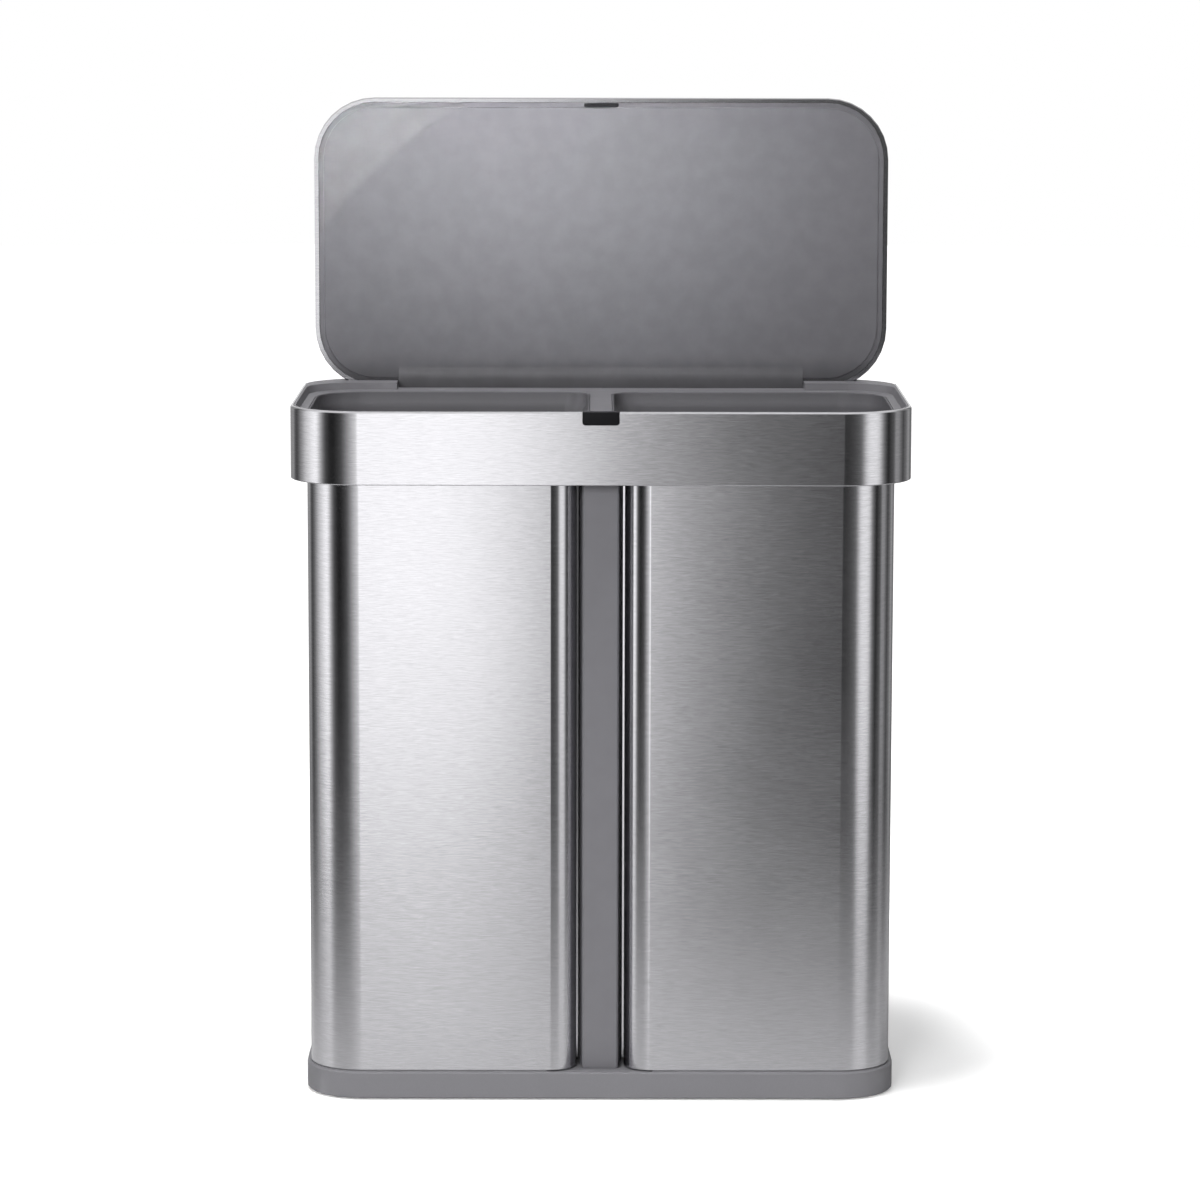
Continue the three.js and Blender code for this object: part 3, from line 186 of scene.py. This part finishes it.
def makeBrushedGrain(values):
    # level scratches, fine and coarse, over slow cloudy patches
    group, given = startGroup(
        "brushedGrain",
        {
            "Colour": (0.6, 0.6, 0.6, 1), "Contrast": 0.1,
            "Roughness": 0.25, "Roughness spread": 0.06,
        },
    )
    place = objectPlace(group)
    fine = noiseOn(group, stretched(group, place, values["fine"]), 1, 2)
    coarse = noiseOn(group, stretched(group, place, values["coarse"]), 1, 3, 0.6)
    cloud = noiseOn(group, place, values["cloud"], 3)
    scratches = mathNode(group, "ADD", times(group, fine, 0.5), times(group, coarse, 0.5))
    centred = mathNode(group, "SUBTRACT", scratches, 0.5)
    light = mathNode(group, "MULTIPLY_ADD", times(group, centred, given["Contrast"]), 2.0, 1.0)
    cloudy = mapRange(group, cloud, values["cloudSpan"], values["cloudShade"])
    colour = mixColours(group, 1.0, given["Colour"], times(group, light, cloudy), "MULTIPLY")
    rough = mathNode(group, "MULTIPLY_ADD", centred, given["Roughness spread"], given["Roughness"])
    uneven = mapRange(group, cloud, values["cloudSpan"], values["cloudRoughness"])
    return endGroup(group, colour, mathNode(group, "ADD", rough, uneven), scratches)


def makeMouldedGrain(values):
    # the fine spark-eroded grain of a moulded part, with faint uneven colour, rubbed edges and
    # painted shade below a given height
    group, given = startGroup(
        "mouldedGrain",
        {
            "Colour": (0.2, 0.2, 0.2, 1), "Grain size": 1400.0, "Variation": 0.06,
            "Roughness": 0.5, "Edge wear": 0.25, "Painted shade below": -1.0, "Painted shade by": 1.0,
        },
    )
    place = objectPlace(group)
    pits = mapRange(group, noiseOn(group, place, given["Grain size"], 2, 0.6), values["pitSpan"])
    cloud = noiseOn(group, place, values["cloud"], 4, 0.55)
    clouded = mathNode(group, "SUBTRACT", cloud, 0.5)
    shade = mathNode(group, "MULTIPLY_ADD", clouded, given["Variation"], 1.0)
    pitted = times(group, given["Variation"], values["pitShare"])
    pitCentred = mathNode(group, "SUBTRACT", pits, 0.5)
    fleck = mathNode(group, "MULTIPLY_ADD", pitCentred, pitted, shade)
    pointed = addNode(group, "ShaderNodeNewGeometry").outputs["Pointiness"]
    edge = mapRange(group, pointed, values["edgeSpan"])
    patches = noiseOn(group, place, values["patches"], 3)
    broken = mapRange(group, patches, values["patchSpan"], values["patchWear"])
    rubbed = mathNode(group, "MULTIPLY", edge, broken, clamp=True)
    worn = mathNode(group, "MULTIPLY_ADD", times(group, rubbed, given["Edge wear"]), 1.0, fleck)
    # painted shade: the colour is darkened under one height
    height = addNode(group, "ShaderNodeSeparateXYZ")
    group.links.new(place, height.inputs[0])
    over = mathNode(group, "SUBTRACT", height.outputs["Z"], given["Painted shade below"])
    unshaded = mapRange(group, over, values["paintedShadeFade"], smooth=True)
    shaded = times(group, worn, mixNumbers(group, unshaded, given["Painted shade by"], 1))
    colour = mixColours(group, 1.0, given["Colour"], shaded, "MULTIPLY")
    rough = mathNode(group, "MULTIPLY_ADD", clouded, values["cloudRoughness"], given["Roughness"])
    rough = mathNode(group, "SUBTRACT", rough, times(group, rubbed, values["polish"]))
    return endGroup(group, colour, rough, pits)


brushedGrain = makeBrushedGrain({
    "fine": (130, 130, 3000),  # noise scale along X, Y and Z
    "coarse": (55, 55, 1300),
    "cloud": 9,
    "cloudSpan": (0.3, 0.7),
    "cloudShade": (0.985, 1.015),
    "cloudRoughness": (-0.012, 0.012),
})
mouldedGrain = makeMouldedGrain({
    "pitSpan": (0.35, 0.65),
    "pitShare": 0.8,
    "cloud": 14,
    "cloudRoughness": 0.05,
    "edgeSpan": (0.53, 0.62),
    "patches": 60,
    "patchSpan": (0.35, 0.7),
    "patchWear": (0.2, 1),
    "paintedShadeFade": (-0.03, 0.012),
    "polish": 0.08,
})
print("pattern groups made")


def startMaterial(name):
    material = bpy.data.materials.new(name)
    material.use_nodes = True
    tree = material.node_tree
    return material, tree, tree.nodes["Principled BSDF"]


def placeGroup(tree, group, shader, values, strength):
    # the group's three results go to the shader, with the height as a bump
    node = addNode(tree, "ShaderNodeGroup", (-500, 0))
    node.node_tree = group
    for name, value in values.items():
        if name in node.inputs:
            feed(tree, node.inputs[name], value)
    tree.links.new(node.outputs["Colour"], shader.inputs["Base Color"])
    tree.links.new(node.outputs["Roughness"], shader.inputs["Roughness"])
    bump = addNode(tree, "ShaderNodeBump", (-250, -250))
    feed(tree, bump.inputs["Distance"], values["bump"])
    feed(tree, bump.inputs["Strength"], strength)
    tree.links.new(node.outputs["Height"], bump.inputs["Height"])
    tree.links.new(bump.outputs["Normal"], shader.inputs["Normal"])


def makeSteel(name, values, lying):
    material, tree, shader = startMaterial(name)
    placeGroup(tree, brushedGrain, shader, values, strength=0.35)
    shader.inputs["Metallic"].default_value = 1
    shader.inputs["Anisotropic"].default_value = values["anisotropic"]
    # the highlight spreads across the scratches: upwards on walls, in its own plane on the lid
    if lying:
        normal = addNode(tree, "ShaderNodeNewGeometry", (-700, -350)).outputs["Normal"]
        across = addNode(tree, "ShaderNodeVectorMath", (-500, -350), operation="CROSS_PRODUCT")
        tree.links.new(normal, across.inputs[0])
        across.inputs[1].default_value = (1, 0, 0)
    else:
        across = addNode(tree, "ShaderNodeCombineXYZ", (-500, -350))
        across.inputs["Z"].default_value = 1
    tree.links.new(across.outputs[0], shader.inputs["Tangent"])
    return material


def makePlastic(name, values):
    material, tree, shader = startMaterial(name)
    placeGroup(tree, mouldedGrain, shader, values, strength=0.5)
    shader.inputs["Metallic"].default_value = values.get("metal", 0)
    shader.inputs["Specular IOR Level"].default_value = values.get("gloss", 0.5)
    return material


wallSteelValues = {
    "Colour": (0.66, 0.655, 0.68),
    "Contrast": 0.44,
    "Roughness": 0.15,
    "Roughness spread": 0.08,
    "anisotropic": 0.95,
    "bump": 0.00003,
}
# the lid's steel is the wall steel with a darker colour, a painted shade
lidSteelPaintedShadeValues = {**wallSteelValues, "Colour": (0.5, 0.497, 0.515)}
plasticValues = {
    "frameGrey": {
        "Colour": (0.11, 0.108, 0.116), "Grain size": 1500, "Variation": 0.07,
        "Roughness": 0.55, "Edge wear": 0.3, "bump": 0.00003,
    },
    "linerGrey": {
        "Colour": (0.08, 0.0785, 0.0856), "Grain size": 1700, "Variation": 0.012,
        # painted shade: the liner's colour is darkened below 0.688 m, towards the hinge
        "Roughness": 0.42, "Edge wear": 0.2, "bump": 0.00002, "Painted shade below": 0.688, "Painted shade by": 0.4,
    },
    "pillarGrey": {
        "Colour": (0.136, 0.134, 0.145), "Grain size": 1500, "Variation": 0.05,
        "Roughness": 0.5, "Edge wear": 0.2, "bump": 0.00003,
    },
    "baseGrey": {
        "Colour": (0.16, 0.158, 0.169), "Grain size": 1300, "Variation": 0.08,
        "Roughness": 0.5, "Edge wear": 0.3, "bump": 0.00004,
    },
    # painted shade: the bucket's colour is darker than the frame's and is darkened further below
    # 0.64 m, for the shade inside the bin
    "bucketGreyPaintedShade": {
        "Colour": (0.07, 0.0685, 0.0745), "Grain size": 1200, "Variation": 0.08,
        "Roughness": 0.45, "Edge wear": 0.3, "bump": 0.00004, "Painted shade below": 0.64, "Painted shade by": 0.4,
    },
    "windowBlack": {
        "Colour": (0.005, 0.005, 0.006), "Grain size": 900, "Variation": 0.3,
        "Roughness": 0.14, "Edge wear": 0.3, "bump": 0.000003, "gloss": 0.12,
    },
    "rubberBlack": {
        "Colour": (0.01, 0.01, 0.011), "Grain size": 2200, "Variation": 0.25,
        "Roughness": 0.75, "Edge wear": 0.2, "bump": 0.00003, "gloss": 0.15,
    },
    "boardGreen": {
        "Colour": (0.02, 0.11, 0.05), "Grain size": 500, "Variation": 0.3,
        "Roughness": 0.4, "Edge wear": 0.2, "bump": 0.00003,
    },
    "gearNylon": {
        "Colour": (0.68, 0.66, 0.61), "Grain size": 1800, "Variation": 0.05,
        "Roughness": 0.4, "Edge wear": 0.1, "bump": 0.00002,
    },
    "platedSteel": {
        "Colour": (0.5, 0.5, 0.51), "Grain size": 2600, "Variation": 0.12,
        "Roughness": 0.32, "Edge wear": 0.2, "bump": 0.00001, "metal": 1,
    },
    "cellJacket": {
        "Colour": (0.27, 0.28, 0.3), "Grain size": 600, "Variation": 0.1,
        "Roughness": 0.35, "Edge wear": 0.2, "bump": 0.00001, "metal": 0.4,
    },
    "leadGrey": {
        "Colour": (0.03, 0.03, 0.033), "Grain size": 1900, "Variation": 0.2,
        "Roughness": 0.6, "Edge wear": 0.2, "bump": 0.00003,
    },
}
wallSteel = makeSteel("brushedWallSteel", wallSteelValues, False)
lidSteel = makeSteel("brushedLidSteelPaintedShade", lidSteelPaintedShadeValues, True)
plastics = {name: makePlastic(name, values) for name, values in plasticValues.items()}
print("finishes made")

edgeRounding = {
    "merge": 0.00001,
    "flat": math.radians(0.6),  # faces that meet at less than this become one
    "sharp": math.radians(32),
    "segments": 2,
}


def finishedCopy(node, material, edge):
    # a merged copy with small rounded edges, which stands for the node
    source = nodes[node]
    work = bmesh.new()
    work.from_mesh(source.data)
    bmesh.ops.remove_doubles(work, verts=work.verts, dist=edgeRounding["merge"])
    bmesh.ops.dissolve_limit(
        work, angle_limit=edgeRounding["flat"], verts=work.verts, edges=work.edges,
    )
    for face in work.faces:
        face.smooth = True
    mesh = bpy.data.meshes.new(node + "Finished")
    work.to_mesh(mesh)
    work.free()
    mesh.materials.append(material)
    piece = bpy.data.objects.new(node + "_finished", mesh)
    bpy.context.scene.collection.objects.link(piece)
    rounded = piece.modifiers.new("roundedEdges", "BEVEL")
    rounded.width = edge
    rounded.segments = edgeRounding["segments"]
    rounded.limit_method = "ANGLE"
    rounded.angle_limit = edgeRounding["sharp"]
    rounded.harden_normals = True
    rounded.use_clamp_overlap = True
    weighted = piece.modifiers.new("evenNormals", "WEIGHTED_NORMAL")
    weighted.keep_sharp = True
    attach(piece, source["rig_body"])
    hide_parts(node)


# finish, slot and edge radius in metres
copies = {
    "rim_band": (wallSteel, "brushed_steel", 0.0002),
    "left_shell": (wallSteel, "brushed_steel", 0.0002),
    "right_shell": (wallSteel, "brushed_steel", 0.0002),
    "lid_skin": (lidSteel, "brushed_steel", 0.0002),
    "rim_frame": (plastics["frameGrey"], "grey_plastic", 0.0004),
    "shell_ring": (plastics["frameGrey"], "grey_plastic", 0.0003),
    "lid_liner": (plastics["linerGrey"], "grey_plastic", 0.0003),
    "lid_bumper": (plastics["rubberBlack"], "black_rubber", 0.0002),
    "front_pillar": (plastics["pillarGrey"], "grey_plastic", 0.0004),
    "rear_pillar": (plastics["pillarGrey"], "grey_plastic", 0.0004),
    "base": (plastics["baseGrey"], "base_plastic", 0.0005),
    "left_bucket": (plastics["bucketGreyPaintedShade"], "grey_plastic", 0.0003),
    "right_bucket": (plastics["bucketGreyPaintedShade"], "grey_plastic", 0.0003),
    "sensor_window": (plastics["windowBlack"], "black_gloss", 0.0005),
}
for node, (material, slotName, edge) in copies.items():
    finishedCopy(node, material, edge)
print("copies finished")

# the nodes that stay as they are
nodeFinishes = {
    "boardGreen": ["sensor_board", "control_board"],
    "gearNylon": ["drive_pinion", "lid_sector_gear", "left_bush", "right_bush", "switch_knob"],
    "platedSteel": [
        "gearbox", "motor", "motor_bracket", "hinge_rod", "left_contact", "right_contact",
        "inner_bracket_screw", "outer_bracket_screw",
    ],
    "cellJacket": ["battery_cell_1", "battery_cell_2", "battery_cell_3", "battery_cell_4"],
    "leadGrey": ["sensor_ribbon", "motor_lead", "battery_lead", "supply_lead", "switch_lead"],
    "rubberBlack": [
        "front_left_foot", "front_right_foot", "rear_left_foot", "rear_right_foot",
        "supply_inlet", "switch_body",
    ],
    "baseGrey": ["battery_tray", "battery_door"],
}
for finishName, names in nodeFinishes.items():
    for name in names:
        nodes[name].data.materials.clear()
        nodes[name].data.materials.append(plastics[finishName])
print("remaining nodes finished")


def makeSide(tree, turn, stops, low, high):
    # half of the studio's walls: a ramp over the angles from low to high
    ramp = addNode(tree, "ShaderNodeValToRGB")
    elements = ramp.color_ramp.elements
    for angle, level in stops:
        spot = elements.new((angle - low) / (high - low))
        spot.color = (level / 2, level / 2, level / 2, 1)  # a ramp stops at 1, and walls go past it
    elements.remove(elements[0])
    elements.remove(elements[-1])
    share = mapRange(tree, turn, (math.radians(low), math.radians(high)))
    tree.links.new(share, ramp.inputs["Fac"])
    return times(tree, ramp.outputs["Color"], 2.0)


def makeWorld(values):
    world = bpy.data.worlds.new("studio")
    world.use_nodes = True
    bpy.context.scene.world = world
    tree = world.node_tree
    background = tree.nodes["Background"]
    ray = addNode(tree, "ShaderNodeLightPath").outputs
    direction = addNode(tree, "ShaderNodeSeparateXYZ")
    around = addNode(tree, "ShaderNodeTexCoord").outputs["Generated"]
    tree.links.new(around, direction.inputs[0])
    ahead = times(tree, direction.outputs["Y"], -1.0)
    turn = mathNode(tree, "ARCTAN2", direction.outputs["X"], ahead)
    leftSide = makeSide(tree, turn, values["leftward"], -180, 0)
    rightSide = makeSide(tree, turn, values["rightward"], 0, 180)
    walls = mixNumbers(tree, mathNode(tree, "GREATER_THAN", turn, 0.0), leftSide, rightSide)
    overhead = mapRange(tree, direction.outputs["Z"], values["ceilingSpan"], smooth=True)
    mirrored = mixNumbers(tree, overhead, walls, values["ceiling"])
    glossy = mixNumbers(tree, ray["Is Glossy Ray"], values["ambient"], mirrored)
    direct = mathNode(tree, "MAXIMUM", ray["Is Camera Ray"], ray["Is Transmission Ray"])
    seen = mixNumbers(tree, direct, glossy, 1)
    tree.links.new(seen, background.inputs["Strength"])
    background.inputs["Color"].default_value = (1, 1, 1, 1)


makeWorld({
    "ambient": 0.28,
    "ceiling": 0.9,
    "ceilingSpan": (0.35, 0.75),
    # the walls' level at each angle: 0 is straight in front of the bin, below 0 to its left
    "leftward": [
        (-179, 0.9), (-168, 0.7), (-157, 0.3), (-141, 0.35), (-134, 0.12), (-127, 0.08),
        (-118, 0.2), (-109, 0.45), (-100, 0.78), (-92, 1.0), (-86, 1.2), (-79, 1.34),
        (-75, 1.25), (-72, 1.0), (-68, 0.6), (-63, 0.25), (-58, 0.08), (-50, 0.02),
        (-44, 0.015), (-36, 0.05), (-30, 0.1), (-25, 0.22), (-20, 0.4), (-15, 0.6),
        (-10, 0.8), (-6, 1.0), (-4.5, 1.4), (-1.5, 1.62), (-0.2, 0.95),
    ],
    "rightward": [
        (0.2, 0.6), (1, 0.34), (2, 0.19), (3, 0.1), (5, 0.04), (10, 0.045), (18, 0.07),
        (25, 0.11), (30, 0.16), (33, 0.24), (36, 0.42), (40, 0.72), (44, 0.97), (49, 1.07),
        (58, 1.05), (63, 0.9), (67, 0.62), (71, 0.3), (76, 0.12), (82, 0.02), (94, 0.12),
        (100, 0.36), (107, 0.34), (113, 0.2), (120, 0.08), (132, 0.2), (141, 0.4),
        (156, 0.12), (168, 0.6), (179, 0.9),
    ],
})


def makeFloor(values):
    work = bmesh.new()
    bmesh.ops.create_circle(
        work, cap_ends=True, cap_tris=False, segments=values["sides"], radius=values["radius"],
    )
    mesh = bpy.data.meshes.new("studioFloor")
    work.to_mesh(mesh)
    work.free()
    floor = bpy.data.objects.new("studioFloor", mesh)
    bpy.context.scene.collection.objects.link(floor)
    material, tree, shader = startMaterial("paleFloor")
    tree.nodes.remove(shader)
    ray = addNode(tree, "ShaderNodeLightPath").outputs
    reach = addNode(tree, "ShaderNodeVectorMath", operation="LENGTH")
    tree.links.new(objectPlace(tree), reach.inputs[0])
    reach = reach.outputs["Value"]
    diffuse = addNode(tree, "ShaderNodeBsdfDiffuse")
    # seen in reflections the floor's colour is painted darker away from the bin, a painted pool of
    # light around it
    mirrored = mapRange(tree, reach, values["paintedDimSpan"], values["mirrored"])
    level = mixColours(tree, ray["Is Glossy Ray"], values["colour"], mirrored)
    tree.links.new(level, diffuse.inputs["Color"])
    # to the eye the floor glows a little near the bin, and is plain white away from it
    glow = addNode(tree, "ShaderNodeEmission")
    lift = mapRange(tree, reach, values["whiteSpan"], (values["lift"], 1), True)
    tree.links.new(times(tree, ray["Is Camera Ray"], lift), glow.inputs["Strength"])
    together = addNode(tree, "ShaderNodeAddShader")
    tree.links.new(diffuse.outputs[0], together.inputs[0])
    tree.links.new(glow.outputs[0], together.inputs[1])
    # mirrored, the floor fades out into the studio's walls
    fade = mapRange(tree, reach, values["fadeSpan"])
    clear = addNode(tree, "ShaderNodeBsdfTransparent")
    mixed = addNode(tree, "ShaderNodeMixShader")
    tree.links.new(times(tree, fade, ray["Is Glossy Ray"]), mixed.inputs[0])
    tree.links.new(together.outputs[0], mixed.inputs[1])
    tree.links.new(clear.outputs[0], mixed.inputs[2])
    tree.links.new(mixed.outputs[0], tree.nodes["Material Output"].inputs["Surface"])
    mesh.materials.append(material)


# each span is in metres from the bin's middle
makeFloor({
    "radius": 12,
    "sides": 96,
    "colour": (0.8, 0.8, 0.8),
    # painted pool of light: the floor's level in reflections near the bin and far from it
    "mirrored": (0.46, 0.12),
    "paintedDimSpan": (0.4, 1.7),
    "lift": 0.3,
    "whiteSpan": (0.33, 0.54),
    "fadeSpan": (0.1, 2.6),
})


def makeLamp(name, values):
    data = bpy.data.lights.new(name, "AREA")
    data.shape = "RECTANGLE"
    data.size, data.size_y = values["size"]
    data.energy = values["watts"]
    data.spread = math.radians(values["spread"])
    lamp = bpy.data.objects.new(name, data)
    lamp.location = values["place"]
    aim = Vector(values["aim"]) - Vector(values["place"])
    lamp.rotation_mode = "QUATERNION"
    lamp.rotation_quaternion = aim.to_track_quat("-Z", "Y")
    lamp.visible_glossy = False
    bpy.context.scene.collection.objects.link(lamp)


lamps = {
    "keySoftbox": {
        "size": (0.8, 0.8), "watts": 86, "spread": 180,
        "place": (-0.4, -0.45, 3.1), "aim": (0, 0, 0),
    },
    "fillSoftbox": {
        "size": (1.2, 1.2), "watts": 14, "spread": 60,
        "place": (-0.9, -3.9, 1.5), "aim": (0, 0, 0.3),
    },
    "rearSoftbox": {
        "size": (1.2, 1.2), "watts": 7, "spread": 60,
        "place": (0.7, 3.9, 1.5), "aim": (0, 0, 0.4),
    },
    "lidSpot": {
        "size": (0.45, 0.12), "watts": 1.8, "spread": 13,
        "place": (-0.9, -2.4, 1.5), "aim": (-0.1, 0.15, 0.945),
    },
}
for name, values in lamps.items():
    makeLamp(name, values)
print("studio lit")

bpy.context.scene.view_settings.view_transform = "Standard"
